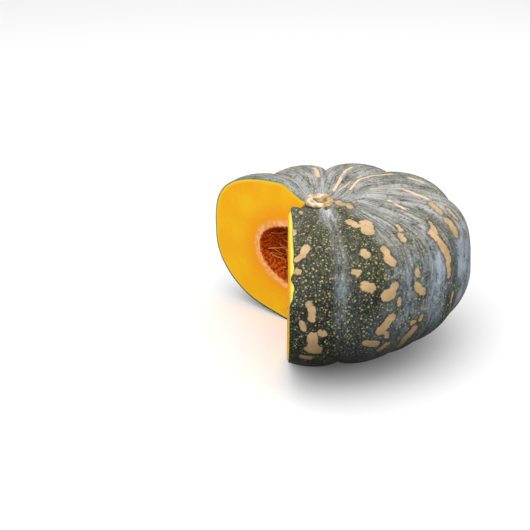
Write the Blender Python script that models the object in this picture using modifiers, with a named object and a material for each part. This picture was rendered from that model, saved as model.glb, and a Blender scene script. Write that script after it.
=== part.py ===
"""A ribbed grey-green pumpkin on its blossom end, with a wedge of more than a third cut out of it.

Metres, +Z up. The origin is on the surface that the pumpkin stands on, at the middle of its outline.
Bearings are in degrees round the pumpkin's stem: 0 is the front (-Y) and 90 is the right (+X).
"""

import math
import random

import bmesh
import bpy
from mathutils import Matrix, Vector

# Where the middle of the uncut fruit stands, left of the middle of what the cut leaves
CENTRE = Vector((-0.0112, 0.0004, 0.0))

# The uncut fruit, which leans a little to the left
RADIUS = 0.1107
EQUATOR_HEIGHT = 0.0577
RISE = 0.0592
DROP = 0.0616
TOP_SQUARENESS = 3.15
TOP_SQUARENESS_SWING = 0.50
SQUAREST_BEARING = 100.0
SHOULDER_SQUARENESS = 0.60
SHOULDER_BEARING = 232.0
SHOULDER_SPREAD = 22.0
BOTTOM_SQUARENESS = 2.15
LEAN = 0.0565
LEVEL_BASE_RADIUS = 0.040
STEM_DIP = 0.0106
STEM_SEAT_RADIUS = 0.0122
STEM_DIP_RADIUS = 0.038
BLOSSOM_DIP = 0.0060
BLOSSOM_DIP_RADIUS = 0.018

# The furrows between the ribs: bearing at the side, bearing near the stem, share of the full depth
FURROWS = (
    (7.5, 9.0, 0.90),
    (33.0, 40.0, 0.60),
    (46.0, 54.0, 1.00),
    (65.0, 72.0, 0.90),
    (98.0, 104.0, 1.00),
    (143.0, 141.0, 1.00),
    (177.0, 177.0, 1.00),
    (209.0, 209.0, 1.00),
    (242.0, 242.0, 1.00),
    (276.0, 276.0, 0.90),
    (308.0, 308.0, 1.00),
    (340.0, 341.0, 0.80),
)
# The full depth as a share of the distance from the centre, and the width in degrees of a full rib
FURROW_TOP = 0.085
FURROW_SIDE = 0.036
FURROW_BOTTOM = 0.055
FULL_RIB = 28.0
SMOOTH_POLE_RADIUS = 0.012
RIB_STEPS = 8
PROFILE_STEPS = 30

# The cut: its inner corner beside the stem, and the bearings of its faces. The front one has a bend.
CUT_CORNER = Vector((-0.0125, 0.0050, 0.0))
CUT_LEFT = -130.0
CUT_FRONT = -19.4
CUT_BEND = 0.039
CUT_FORWARD = 3.0
CUT_REACH = 0.200
CUT_BELOW, CUT_ABOVE = -0.020, 0.160

# The seed cavity
CAVITY_RADIUS = 0.0600
CAVITY_HALF_HEIGHT = 0.0275
CAVITY_CENTRE_HEIGHT = 0.0577
CAVITY_SQUARENESS = 2.3
CAVITY_RIPPLE = 0.0012
CLEARANCE = 0.0003

# The corky stub of the stem, standing in a shallow pocket
STUB_FOOT_RADIUS = 0.0088
STUB_FOOT_DEPTH = 0.0030
STUB_RADIUS = 0.0115
STUB_THICKNESS = 0.0046
STUB_HOLLOW = 0.0022
STUB_RIDGES = 5
STUB_RIDGE_HEIGHT = 0.0008
STUB_STEPS = 40
MERGE = 0.00001

# The stringy pulp and its seeds
PULP_RADIUS = 0.0250
PULP_WAIST = 0.0040
PULP_LOBES = 7
PULP_LOBE_HEIGHT = 0.0014
STRAND_COUNT = 40
STRAND_START = 0.012
STRAND_REACH = 0.010
STRAND_ROOT, STRAND_TIP = 0.0011, 0.0005
STRAND_SIDES, STRAND_STEPS = 4, 4
SEED_LENGTH, SEED_WIDTH, SEED_THICKNESS = 0.0165, 0.0095, 0.0034
SEED_COLUMNS, SEED_ROWS = 11, 3
# Seeds laid bare by the knife: distance from the inner corner, level in the cavity, rise of the tip
FACE_SEEDS = ((0.0090, 0.42, 0.5), (0.0050, -0.02, 0.9), (0.0090, -0.50, -0.3))
RANDOM_SEED = 21


def clear_scene():
    for obj in list(bpy.data.objects):
        bpy.data.objects.remove(obj)


def collection(name):
    made = bpy.data.collections.new(name)
    bpy.context.scene.collection.children.link(made)
    return made


def material(name, colour, roughness):
    made = bpy.data.materials.new(name)
    made.use_nodes = True
    shader = made.node_tree.nodes["Principled BSDF"]
    shader.inputs["Base Color"].default_value = (*colour, 1.0)
    shader.inputs["Roughness"].default_value = roughness
    shader.inputs["Metallic"].default_value = 0.0
    return made


def object_from(bm, name, into, mat=None):
    bm.normal_update()
    bmesh.ops.recalc_face_normals(bm, faces=bm.faces[:])
    mesh = bpy.data.meshes.new(name)
    bm.to_mesh(mesh)
    bm.free()
    if mat:
        mesh.materials.append(mat)
    made = bpy.data.objects.new(name, mesh)
    into.objects.link(made)
    return made


def as_cutter(obj):
    obj.hide_render = True
    obj.display_type = "WIRE"
    return obj


def boolean(obj, operation, other, solver="EXACT"):
    modifier = obj.modifiers.new(operation.lower(), "BOOLEAN")
    modifier.operation = operation
    modifier.solver = solver
    if isinstance(other, bpy.types.Collection):
        modifier.operand_type = "COLLECTION"
        modifier.collection = other
    else:
        modifier.object = other
    return modifier


def apply_modifiers(obj):
    """The modifiers' result becomes the object's own mesh."""
    graph = bpy.context.evaluated_depsgraph_get()
    mesh = bpy.data.meshes.new_from_object(obj.evaluated_get(graph))
    obj.modifiers.clear()
    obj.data = mesh


def remove_collection(made):
    for obj in list(made.objects):
        bpy.data.objects.remove(obj)
    bpy.data.collections.remove(made)


def smoothstep(low, high, value):
    t = min(1.0, max(0.0, (value - low) / (high - low)))
    return t * t * (3 - 2 * t)


def direction(bearing):
    """The level direction of a bearing in degrees."""
    angle = math.radians(bearing)
    return Vector((math.sin(angle), -math.cos(angle), 0.0))


def bearing_of(x, y):
    return math.degrees(math.atan2(x, -y))


def rib_at(turn):
    """(The furrows on both sides, how far across the rib), each rib taking an equal share of a turn."""
    count = len(FURROWS)
    number = int(turn * count) % count
    start, end = FURROWS[number], FURROWS[(number + 1) % count]
    if number == count - 1:
        end = (end[0] + 360.0, end[1] + 360.0, end[2])
    return start, end, turn * count - int(turn * count)


def stem_dip(radius):
    """How far the top sinks round the stem, level under the stub."""
    return STEM_DIP * (1 - smoothstep(STEM_SEAT_RADIUS, STEM_DIP_RADIUS, radius))


def lean_over(point, level):
    """Tips a point of the fruit to the left about its middle, with the share level of the lift left out."""
    return Vector((point.x - point.z * LEAN, point.y, point.z + point.x * LEAN * (1 - level)))


def skin_point(turn, polar):
    """A point of the rind above the ground, polar being the angle from the stem's end in radians."""
    out, up = math.sin(polar), math.cos(polar)
    start, end, across = rib_at(turn)
    twist = smoothstep(0.0, 0.8, up)
    side = start[0] + (end[0] - start[0]) * across
    top = start[1] + (end[1] - start[1]) * across
    bearing = side + (top - side) * twist

    power = BOTTOM_SQUARENESS
    if up > 0:
        power = TOP_SQUARENESS + TOP_SQUARENESS_SWING * math.cos(math.radians(bearing - SQUAREST_BEARING))
        power += SHOULDER_SQUARENESS * math.exp(-(((bearing - SHOULDER_BEARING) / SHOULDER_SPREAD) ** 2))
    reach = (out**power + abs(up) ** power) ** (-1 / power)
    radius = RADIUS * reach * out
    height = (RISE if up > 0 else DROP) * reach * up

    narrow = min(1.0, ((end[0] - start[0]) / FULL_RIB) ** 0.6)
    crest = narrow * max(0.0, 4 * across * (1 - across)) ** 0.6
    pole_depth = FURROW_TOP if up > 0 else FURROW_BOTTOM
    depth = FURROW_SIDE + (pole_depth - FURROW_SIDE) * smoothstep(0.0, 0.75, abs(up))
    depth *= start[2] + (end[2] - start[2]) * across
    depth *= smoothstep(SMOOTH_POLE_RADIUS, 4 * SMOOTH_POLE_RADIUS, radius)
    radius, height = radius * (1 - depth * (1 - crest)), height * (1 - depth * (1 - crest))

    if up > 0:
        height -= stem_dip(radius)
    else:
        height += BLOSSOM_DIP * math.exp(-((radius / BLOSSOM_DIP_RADIUS) ** 2))
    level = 0.0 if up > 0 else 1 - smoothstep(LEVEL_BASE_RADIUS, 2 * LEVEL_BASE_RADIUS, radius)
    point = lean_over(direction(bearing) * radius + Vector((0, 0, height)), level)
    point.z = max(point.z + EQUATOR_HEIGHT, 0.0)
    return point


def seat_height(radius):
    """How far the rind's top beside the stem, where it has no ribs, is above the middle of the fruit."""
    share = radius / RADIUS
    return RISE * (1 - share**TOP_SQUARENESS) ** (1 / TOP_SQUARENESS) - stem_dip(radius)


def on_stem_axis(made):
    """Stands an object that is turned about the fruit's own axis in its place on the leaning fruit."""
    tip = Matrix(((1, 0, -LEAN, 0), (0, 1, 0, 0), (LEAN, 0, 1, 0), (0, 0, 0, 1)))
    made.data.transform(Matrix.Translation(CENTRE + Vector((0, 0, EQUATOR_HEIGHT))) @ tip)
    return made


def ball(steps_round, steps_down):
    """A unit sphere from bearing 0 round, and each vertex's (share of a turn, polar angle)."""
    bm = bmesh.new()
    bmesh.ops.create_uvsphere(bm, u_segments=steps_round, v_segments=steps_down, radius=1.0)
    places = {}
    for vert in bm.verts:
        turn = (bearing_of(vert.co.x, vert.co.y) / 360.0) % 1.0
        turn = round(turn * steps_round) / steps_round % 1.0
        places[vert] = (turn, math.acos(max(-1.0, min(1.0, vert.co.z))))
    return bm, places


def skin(into, mat):
    bm, places = ball(RIB_STEPS * len(FURROWS), PROFILE_STEPS)
    for vert, (turn, polar) in places.items():
        vert.co = skin_point(turn, polar) + CENTRE
    return object_from(bm, "pumpkin_body", into, mat)


def cavity_shape(name, into, inset):
    """The hollow in the flesh, taken in by inset."""
    bm, places = ball(36, 16)
    for vert, (turn, polar) in places.items():
        out, up = math.sin(polar), math.cos(polar)
        reach = (out**CAVITY_SQUARENESS + abs(up) ** CAVITY_SQUARENESS) ** (-1 / CAVITY_SQUARENESS)
        ripple = CAVITY_RIPPLE * math.cos(math.radians(turn * 360.0 * 9)) * out
        radius = (CAVITY_RADIUS + ripple - inset) * reach * out
        height = (CAVITY_HALF_HEIGHT - inset) * reach * up + CAVITY_CENTRE_HEIGHT
        vert.co = direction(turn * 360.0) * radius + Vector((0, 0, height)) + CENTRE
    return as_cutter(object_from(bm, name, into))


def wedge_cutter(into):
    """The prism that the knife takes out, from its corner beside the stem."""
    corner = CUT_CORNER + CENTRE
    bend = corner + direction(CUT_FRONT) * CUT_BEND
    middle = direction((CUT_FRONT + CUT_LEFT) / 2)
    outline = [
        corner,
        corner + direction(CUT_LEFT) * CUT_REACH,
        corner + middle * CUT_REACH * 1.5,
        bend + direction(CUT_FORWARD) * CUT_REACH,
        bend,
    ]
    bm = bmesh.new()
    base = bm.faces.new([bm.verts.new((p.x, p.y, CUT_BELOW)) for p in outline])
    raised = bmesh.ops.extrude_face_region(bm, geom=[base])
    tops = [item for item in raised["geom"] if isinstance(item, bmesh.types.BMVert)]
    bmesh.ops.translate(bm, verts=tops, vec=(0, 0, CUT_ABOVE - CUT_BELOW))
    return as_cutter(object_from(bm, "wedge_cutter", into))


def stub_pocket(into):
    """A round pocket for the stub's foot, a clearance wider and deeper than it."""
    depth = STUB_FOOT_DEPTH + CLEARANCE
    bm = bmesh.new()
    bmesh.ops.create_cone(
        bm,
        cap_ends=True,
        segments=STUB_STEPS,
        radius1=STUB_FOOT_RADIUS + CLEARANCE,
        radius2=STUB_FOOT_RADIUS + CLEARANCE,
        depth=2 * depth,
        matrix=Matrix.Translation((0, 0, seat_height(0.0))),
    )
    return as_cutter(on_stem_axis(object_from(bm, "stub_pocket", into)))


def turned(name, profile, into, mat):
    """A profile of (radius, height) turned once round Z."""
    bm = bmesh.new()
    points = [bm.verts.new((radius, 0.0, height)) for radius, height in profile]
    for pair in zip(points, points[1:]):
        bm.edges.new(pair)
    made = object_from(bm, name, into, mat)
    screw = made.modifiers.new("turn", "SCREW")
    screw.axis = "Z"
    screw.angle = 2 * math.pi
    screw.steps = STUB_STEPS
    screw.render_steps = STUB_STEPS
    screw.use_merge_vertices = True
    screw.merge_threshold = MERGE
    screw.use_normal_calculate = True
    apply_modifiers(made)
    return made


def stem_stub(into, mat):
    """The cut stem: a corky disc with a raised rim, turned about the stem's axis."""
    seat = seat_height(0.0)
    foot = seat - STUB_FOOT_DEPTH
    outer = seat_height(STUB_RADIUS) + 2 * CLEARANCE
    top = seat + STUB_THICKNESS
    profile = [
        (0.0, top - STUB_HOLLOW),
        (0.0045, top - STUB_HOLLOW),
        (0.0068, top - 0.35 * STUB_HOLLOW),
        (0.0082, top),
        (0.0098, top - 0.0002),
        (STUB_RADIUS - 0.0002, top - 0.0013),
        (STUB_RADIUS, outer + 0.0010),
        (STUB_RADIUS - 0.0004, outer),
        (STUB_FOOT_RADIUS, seat_height(STUB_FOOT_RADIUS) + 2 * CLEARANCE),
        (STUB_FOOT_RADIUS, foot),
        (0.0, foot),
    ]
    made = turned("stem_stub", profile, into, mat)
    for vert in made.data.vertices:
        radius = math.hypot(vert.co.x, vert.co.y)
        ridge = math.cos(STUB_RIDGES * math.atan2(vert.co.y, vert.co.x))
        above = smoothstep(seat, top, vert.co.z) * smoothstep(0.004, 0.010, radius)
        vert.co.z += STUB_RIDGE_HEIGHT * ridge * above
    return on_stem_axis(made)


def pulp_core(into, mat):
    """The mass of pulp round the stem's axis, waisted between the top and the bottom of the cavity."""
    bm, places = ball(35, 12)
    for vert, (turn, polar) in places.items():
        out, up = math.sin(polar), math.cos(polar)
        lobes = PULP_LOBE_HEIGHT * math.cos(math.radians(turn * 360.0 * PULP_LOBES)) * out
        radius = PULP_RADIUS * min(1.0, 1.25 * out) - PULP_WAIST * (1 - up * up) + lobes
        height = 1.05 * CAVITY_HALF_HEIGHT * up + CAVITY_CENTRE_HEIGHT
        radius *= smoothstep(0.0, 0.2, out)
        vert.co = direction(turn * 360.0) * radius + Vector((0, 0, height)) + CENTRE
    return object_from(bm, "seed_pulp", into, mat)


def strand(into, start, end, sag):
    """A tapering string of pulp with a slight droop."""
    bm = bmesh.new()
    along = (end - start).normalized()
    bmesh.ops.create_cone(
        bm,
        cap_ends=True,
        segments=STRAND_SIDES,
        radius1=STRAND_ROOT,
        radius2=STRAND_TIP,
        depth=1.0,
    )
    sides = [e for e in bm.edges if abs(e.verts[0].co.z - e.verts[1].co.z) > 0.5]
    bmesh.ops.subdivide_edges(bm, edges=sides, cuts=STRAND_STEPS - 1)
    turn = Vector((0, 0, 1)).rotation_difference(along).to_matrix()
    for vert in bm.verts:
        share = vert.co.z + 0.5
        centre = start.lerp(end, share) - Vector((0, 0, sag * share * share))
        vert.co = centre + turn @ Vector((vert.co.x, vert.co.y, 0.0))
    return object_from(bm, "strand", into)


def seed(into, place, tip, face):
    """A flat seed centred at place, its narrow end towards tip and its flat side facing face."""
    bm = bmesh.new()
    bmesh.ops.create_uvsphere(bm, u_segments=8, v_segments=6, radius=0.5)
    for vert in bm.verts:
        taper = 1 - 0.5 * smoothstep(-0.1, 0.5, vert.co.z)
        vert.co.x *= SEED_WIDTH * taper
        vert.co.y *= SEED_THICKNESS
        vert.co.z *= SEED_LENGTH
    tip = tip.normalized()
    face = (face - face.dot(tip) * tip).normalized()
    axes = Matrix((face.cross(tip), face, tip)).transposed()
    bm.transform(Matrix.Translation(place) @ axes.to_4x4())
    return object_from(bm, "seed", into)


def keeps_clear(point, margin):
    """True where a point no farther out than the bend is in what the knife leaves, margin from its faces."""
    offset = point - CUT_CORNER - CENTRE
    front, left = direction(CUT_FRONT), direction(CUT_LEFT)
    past_front = front.cross(offset).z
    past_left = -left.cross(offset).z
    return past_front > margin or past_left > margin


def add_strands(into, chance):
    """Strings from the core towards the cavity's wall, all round the part that is left."""
    made = 0
    while made < STRAND_COUNT:
        share = (made + 0.5) / STRAND_COUNT
        bearing = CUT_FRONT + 9 + share * (360 + CUT_LEFT - CUT_FRONT - 18) + chance.uniform(-3, 3)
        height = CAVITY_CENTRE_HEIGHT + CAVITY_HALF_HEIGHT * chance.uniform(-0.72, 0.72)
        level = (height - CAVITY_CENTRE_HEIGHT) / CAVITY_HALF_HEIGHT
        wall = CAVITY_RADIUS * math.sqrt(1 - level * level)
        reach = min(wall - 0.004, PULP_RADIUS + chance.uniform(0.2, 1.0) * STRAND_REACH)
        start = CENTRE + direction(bearing) * STRAND_START + Vector((0, 0, height))
        end = CENTRE + direction(bearing + chance.uniform(-7, 7)) * reach
        end.z = height + chance.uniform(-0.004, 0.004)
        made += 1
        if keeps_clear(end, 0.002):
            strand(into, start, end, chance.uniform(0.0, 0.002))


def add_seeds(into, chance):
    """Rows of seeds half sunk in the core, and a few that the knife laid bare on both faces of the cut."""
    for column in range(SEED_COLUMNS):
        share = (column + 0.5) / SEED_COLUMNS
        bearing = CUT_FRONT + 14 + share * (360 + CUT_LEFT - CUT_FRONT - 28)
        for row in range(SEED_ROWS):
            turned = bearing + chance.uniform(-5, 5) + 8 * (row % 2)
            level = (row + 0.5) / SEED_ROWS * 2 - 1
            height = CAVITY_CENTRE_HEIGHT + 0.66 * CAVITY_HALF_HEIGHT * level
            out = direction(turned)
            place = CENTRE + out * (PULP_RADIUS - 0.0025) + Vector((0, 0, height))
            if keeps_clear(place, 0.006):
                tip = Vector((0, 0, 1.0)) * (1 if level > 0 else -1) - 0.7 * out
                face = out.cross(Vector((0, 0, 1))) + out * chance.uniform(-0.5, 0.5)
                seed(into, place, tip, face)
    corner = CUT_CORNER + CENTRE
    for bearing, side in ((CUT_FRONT, 1), (CUT_LEFT, -1)):
        along = direction(bearing)
        into_notch = Vector((0, 0, side)).cross(along) * -1
        for reach, level, lean in FACE_SEEDS:
            place = corner + along * reach + into_notch * 0.0002
            place.z = CAVITY_CENTRE_HEIGHT + CAVITY_HALF_HEIGHT * level
            seed(into, place, along + Vector((0, 0, lean)), into_notch)


def main():
    clear_scene()
    chance = random.Random(RANDOM_SEED)
    pumpkin = collection("pumpkin")
    cutters = collection("cutters")

    rind = material("rind", (0.085, 0.115, 0.085), 0.45)
    pulp_orange = material("pulp", (0.82, 0.26, 0.05), 0.55)
    cork = material("stem", (0.56, 0.43, 0.26), 0.80)

    wedge = wedge_cutter(cutters)
    hollow = cavity_shape("cavity", cutters, 0.0)
    pocket = stub_pocket(cutters)

    body = skin(pumpkin, rind)
    boolean(body, "DIFFERENCE", hollow)
    boolean(body, "DIFFERENCE", pocket)
    boolean(body, "DIFFERENCE", wedge)

    stem_stub(pumpkin, cork)

    strands = collection("strands")
    seeds = collection("seeds")
    add_strands(strands, chance)
    add_seeds(seeds, chance)
    pulp = pulp_core(pumpkin, pulp_orange)
    boolean(pulp, "UNION", strands, "MANIFOLD")
    boolean(pulp, "INTERSECT", cavity_shape("cavity_inset", cutters, CLEARANCE), "MANIFOLD")
    boolean(pulp, "DIFFERENCE", wedge, "MANIFOLD")
    boolean(pulp, "UNION", seeds, "MANIFOLD")
    apply_modifiers(pulp)
    remove_collection(strands)
    remove_collection(seeds)


main()
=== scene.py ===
"""Dresses the ribbed grey-green pumpkin: waxy mottled rind, bright flesh, seed cavity, pulp and corky stem.

Metres, +Z up. Bearings are in degrees round the fruit: 0 is the front (-Y) and 90 is the right (+X).
"""

import math
import random

import bmesh
import bpy
from mathutils import Matrix, Vector, noise
from mathutils.bvhtree import BVHTree
from mathutils.kdtree import KDTree


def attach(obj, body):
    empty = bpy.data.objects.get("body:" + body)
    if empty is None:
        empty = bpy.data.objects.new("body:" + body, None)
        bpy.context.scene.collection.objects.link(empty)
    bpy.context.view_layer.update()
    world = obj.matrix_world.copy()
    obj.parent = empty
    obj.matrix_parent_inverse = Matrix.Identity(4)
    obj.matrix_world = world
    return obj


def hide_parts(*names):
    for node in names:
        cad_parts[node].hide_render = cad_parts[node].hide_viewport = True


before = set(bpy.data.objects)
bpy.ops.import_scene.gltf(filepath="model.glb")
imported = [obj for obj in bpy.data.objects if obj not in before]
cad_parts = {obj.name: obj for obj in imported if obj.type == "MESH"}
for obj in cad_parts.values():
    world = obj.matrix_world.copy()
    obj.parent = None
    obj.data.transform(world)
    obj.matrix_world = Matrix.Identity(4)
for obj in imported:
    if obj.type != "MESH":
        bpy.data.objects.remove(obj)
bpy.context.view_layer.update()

# The uncut fruit, as the solid has it
CENTRE = Vector((-0.0112, 0.0004, 0.0))
RADIUS = 0.1107
EQUATOR_HEIGHT = 0.0577
RISE = 0.0592
DROP = 0.0616
TOP_SQUARENESS = 3.15
TOP_SQUARENESS_SWING = 0.50
SQUAREST_BEARING = 100.0
SHOULDER_SQUARENESS = 0.60
SHOULDER_BEARING = 232.0
SHOULDER_SPREAD = 22.0
BOTTOM_SQUARENESS = 2.15
LEAN = 0.0565
LEVEL_BASE_RADIUS = 0.040
STEM_DIP = 0.0106
STEM_SEAT_RADIUS = 0.0122
STEM_DIP_RADIUS = 0.038
BLOSSOM_DIP = 0.0060
BLOSSOM_DIP_RADIUS = 0.018
# Each furrow: its bearing at the fruit's side, its bearing on top, and its share of the full depth
FURROWS = (
    (7.5, 9.0, 0.90),
    (33.0, 40.0, 0.60),
    (46.0, 54.0, 1.00),
    (65.0, 72.0, 0.90),
    (98.0, 104.0, 1.00),
    (143.0, 141.0, 1.00),
    (177.0, 177.0, 1.00),
    (209.0, 209.0, 1.00),
    (242.0, 242.0, 1.00),
    (276.0, 276.0, 0.90),
    (308.0, 308.0, 1.00),
    (340.0, 341.0, 0.80),
)
FURROW_TOP = 0.085
FURROW_SIDE = 0.036
FURROW_BOTTOM = 0.055
FULL_RIB = 28.0
RIB_ROUNDNESS = 0.6
TWIST_FULL_UP = 0.8
POLE_DEPTH_UP = 0.75
SMOOTH_POLE_RADIUS = 0.012

# The cut and the seed cavity, as the solid has them, but with the cavity's roof a little lower
CUT_CORNER = CENTRE + Vector((-0.0125, 0.0050, 0.0))
CUT_LEFT = -130.0
CUT_FRONT = -19.4
CUT_BEND = 0.039
CUT_FORWARD = 3.0
KEPT_ANGLE = 360.0 + CUT_LEFT - CUT_FRONT
CAVITY_RADIUS = 0.0600
CAVITY_HALF_HEIGHT = 0.0275
CAVITY_ROOF = 0.0240
CAVITY_CENTRE_HEIGHT = 0.0577
CAVITY_SQUARENESS = 2.3
CAVITY_RIPPLE = 0.0012
CAVITY_RIPPLES = 9

# How fine the meshes are, and the distance at which two points are the same
RIND_STEPS_ROUND, RIND_STEPS_DOWN = 45 * len(FURROWS), 230
REFERENCE_STEPS_ROUND, REFERENCE_STEPS_DOWN = 15 * len(FURROWS), 90
CAVITY_STEPS_ROUND, CAVITY_STEPS_DOWN = 72, 48
FLESH_STEPS_ROUND, FLESH_STEPS_DOWN, FLESH_RINGS = 160, 96, 26
FRONT_FACE_STEP, FRONT_FACE_COLUMNS, FRONT_FACE_ROWS = 0.0018, 50, 70
SAME_PLACE = 1e-6
SAME_RIM = 2e-5

# The rind
RIND_THICKNESS = 0.0007
RIM_TUCK = 1.3 * RIND_THICKNESS
NOTCH_BEARING = 290.0
UV_RADIUS = 0.095

# The camera, turned to frame the fruit as the photograph does
IMAGE_SIZE = 530
FOCAL_PIXELS = 1200.0
SENSOR = 36.0
CAMERA_ELEVATION = 24.3
CAMERA_DISTANCE = 0.912
FRUIT_MIDDLE_PIXEL = (322.4, 262.1)
NEAREST_SEEN = 0.01

# Tan patches: points of the photograph along each, and its half width in millimetres
TAN_PATCHES = {
    "beside_stem": (((337, 201.5), (345, 204.5), (350, 207.5)), 2.6),
    "twin_small": (((349, 221.5), (357, 226)), 2.9),
    "twin_large": (((366, 223), (368, 231)), 4.9),
    "cut_edge_slant": (((293, 260), (297, 257)), 2.6),
    "cut_edge_broad": (((301, 254), (305, 248)), 4.0),
    "front_square": (((364, 252), (367, 255)), 3.0),
    "front_dot": (((355, 272), (358, 273)), 2.6),
    "front_oval": (((365, 286), (371, 288)), 3.6),
    "shoulder_upper": (((384, 249), (387, 253)), 3.0),
    "shoulder_lower": (((388, 259), (392, 262)), 3.6),
    "side_large_left": (((386, 296), (391, 294)), 4.3),
    "side_large_right": (((393, 289), (395, 286)), 3.3),
    "side_tail": (((399, 300), (399, 304)), 1.9),
    "low_tall": (((309, 304), (312, 312), (312, 319)), 2.7),
    "low_slip": (((302, 323), (304, 329)), 2.2),
    "low_dot": (((321, 333), (324, 334)), 2.6),
    "foot_large_top": (((313, 337), (313, 345)), 4.0),
    "foot_large_middle": (((310, 349), (317, 350)), 4.2),
    "foot_large_left": (((303, 357), (309, 358)), 3.0),
    "foot_flat": (((366, 343), (376, 344)), 3.2),
    "foot_tilted_low": (((380, 331), (385, 326)), 3.4),
    "foot_tilted_high": (((386, 324), (392, 317)), 3.3),
    "foot_tilted_tail": (((386, 333), (387, 337)), 2.0),
    "foot_slip": (((379, 350), (387, 344)), 2.4),
    "foot_long": (((398, 346), (405, 338), (414, 329)), 3.0),
    "foot_bead": (((412, 323), (414, 322)), 1.8),
    "foot_bead_tall": (((420, 320), (422, 316)), 1.8),
    "side_diamond": (((417, 286), (420, 290), (423, 292)), 3.0),
    "side_bead": (((417, 270), (418, 275)), 1.9),
    "side_speck": (((417.5, 264), (418, 265)), 1.1),
    "upper_slip": (((397, 225), (400, 229), (402, 231)), 1.6),
    "upper_bead": (((400, 235), (404, 240)), 2.2),
    "long_band_top": (((430, 222), (433, 228), (436, 232)), 1.8),
    "long_band_shoulder": (((431, 232), (437, 238), (442, 245)), 2.5),
    "long_band_middle": (((443, 247), (447, 254), (449, 260)), 3.1),
    "long_band_low": (((448, 262), (449, 269), (449, 275)), 2.4),
    "right_drop": (((447, 220), (452, 226), (456, 234)), 2.7),
    "right_slip": (((448, 209), (452, 214), (456, 218)), 1.8),
    "right_dash": (((431, 204), (436, 208), (441, 213)), 2.2),
    "right_low_slip": (((453, 292), (452, 297), (451, 301)), 1.8),
    "cut_edge_bead": (((292, 271), (296, 272)), 2.2),
    "cut_edge_high": (((290, 231), (291, 234)), 1.8),
    "cut_corner": (((299, 213), (301, 212)), 1.8),
}
# Pale streaks of the top, which run from the stem outwards: points of the photograph, half width
PALE_STREAKS = {
    "first": (((334, 190), (340, 180), (345, 171), (352, 167)), 1.2),
    "second": (((340, 190), (349, 183), (361, 176)), 0.9),
    "third": (((351, 189), (358, 181), (370, 176), (380, 175), (392, 174)), 1.3),
    "fourth": (((371, 189), (390, 188), (403, 189)), 1.2),
    "fifth": (((405, 190), (415, 194), (428, 199)), 1.5),
    "sixth": (((389, 201), (397, 205), (405, 209)), 1.2),
    "crest": (((409, 178), (416, 180), (423, 182)), 1.4),
    "back": (((314, 168), (317, 171), (318, 176)), 1.8),
    "back_right": (((366, 164), (371, 165)), 1.2),
}
# The sides that the photograph doesn't show: bearings, degrees down from the top, lengths in degrees
HIDDEN_PATCHES = 85
HIDDEN_PATCH_BEARING, HIDDEN_PATCH_SPREAD = 92.0, 150.0
HIDDEN_PATCH_DOWN = (48.0, 128.0)
HIDDEN_PATCH_LENGTH = (1.0, 6.0)
HIDDEN_PATCH_SLANT = 0.006
HIDDEN_PATCH_HALF_WIDTH = (0.0012, 0.0036)
HIDDEN_STREAKS = 26
HIDDEN_STREAK_BEARING, HIDDEN_STREAK_SPREAD = 100.0, 130.0
HIDDEN_STREAK_DOWN = (18.0, 34.0)
HIDDEN_STREAK_LENGTH = (8.0, 22.0)
HIDDEN_STREAK_HALF_WIDTH = (0.0008, 0.0016)
# How far from a mark its distance is no longer kept, and how close a ray has to come to see a point
FAR_FROM_MARKS = 0.010
SEEN_WITHIN = 0.005

# The pale wax across the ribs: bearing at the side, how thick it lies above the widest place, and below it
WAX_BANDS = (
    (-32.0, 0.10, 0.05),
    (-20.0, 0.22, 0.05),
    (-12.0, 0.06, 0.02),
    (3.0, 0.06, 0.02),
    (7.5, 0.56, 0.12),
    (11.5, 0.08, 0.10),
    (20.0, 0.04, 0.26),
    (26.0, 0.52, 0.28),
    (33.0, 0.72, 0.36),
    (37.0, 0.52, 0.24),
    (40.5, 0.50, 0.30),
    (44.5, 1.20, 0.72),
    (49.5, 1.20, 0.56),
    (53.0, 0.50, 0.14),
    (60.0, 0.26, 0.12),
    (63.0, 0.50, 0.30),
    (67.0, 1.20, 0.90),
    (74.0, 1.20, 0.78),
    (84.0, 0.86, 0.46),
    (98.0, 0.86, 0.60),
    (120.0, 0.34, 0.34),
    (143.0, 0.88, 0.60),
    (160.0, 0.40, 0.32),
    (177.0, 1.20, 0.60),
    (193.0, 0.42, 0.30),
    (209.0, 1.20, 0.60),
    (226.0, 0.38, 0.30),
    (242.0, 0.80, 0.50),
)
# Where the wax changes, in degrees down from the top and in bearings, and how much of it lies there
WAX_FULL = 1.2
WAX_SIDE_TO_FOOT = (66.0, 104.0)
WAX_TOP_STARTS, WAX_TOP_ENDS = (20.0, 34.0), (30.0, 52.0)
WAX_BEHIND = (96.0, 140.0)
WAX_TOP, WAX_TOP_LESS_BEHIND, WAX_TOP_EVENS = 0.42, 0.10, 0.35
WAX_STEM_SIDE, WAX_STEM_ENDS = (36.0, 60.0), (13.0, 36.0)
WAX_BESIDE_STEM, WAX_EXTRA_BESIDE_STEM = 0.15, 0.1
WAX_DIMPLE_BAND, WAX_DIMPLE_ENDS = (6.5, 3.0, 8.0), (15.0, 36.0)
WAX_IN_DIMPLE = 1.3

# The strip of flesh that the face of the cut shows beside the rind: how far down it goes, and how wide
STRIP_LOW, STRIP_WIDTH = 0.072, 0.0030
STRIP_FADE_DOWN, STRIP_FADE_AWAY, STRIP_DEPTH = 0.012, 0.014, 0.0045
STRIP_EVEN, STRIP_UNEVEN, STRIP_WAVES_PER_METRE = 0.9, 0.8, 160

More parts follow.
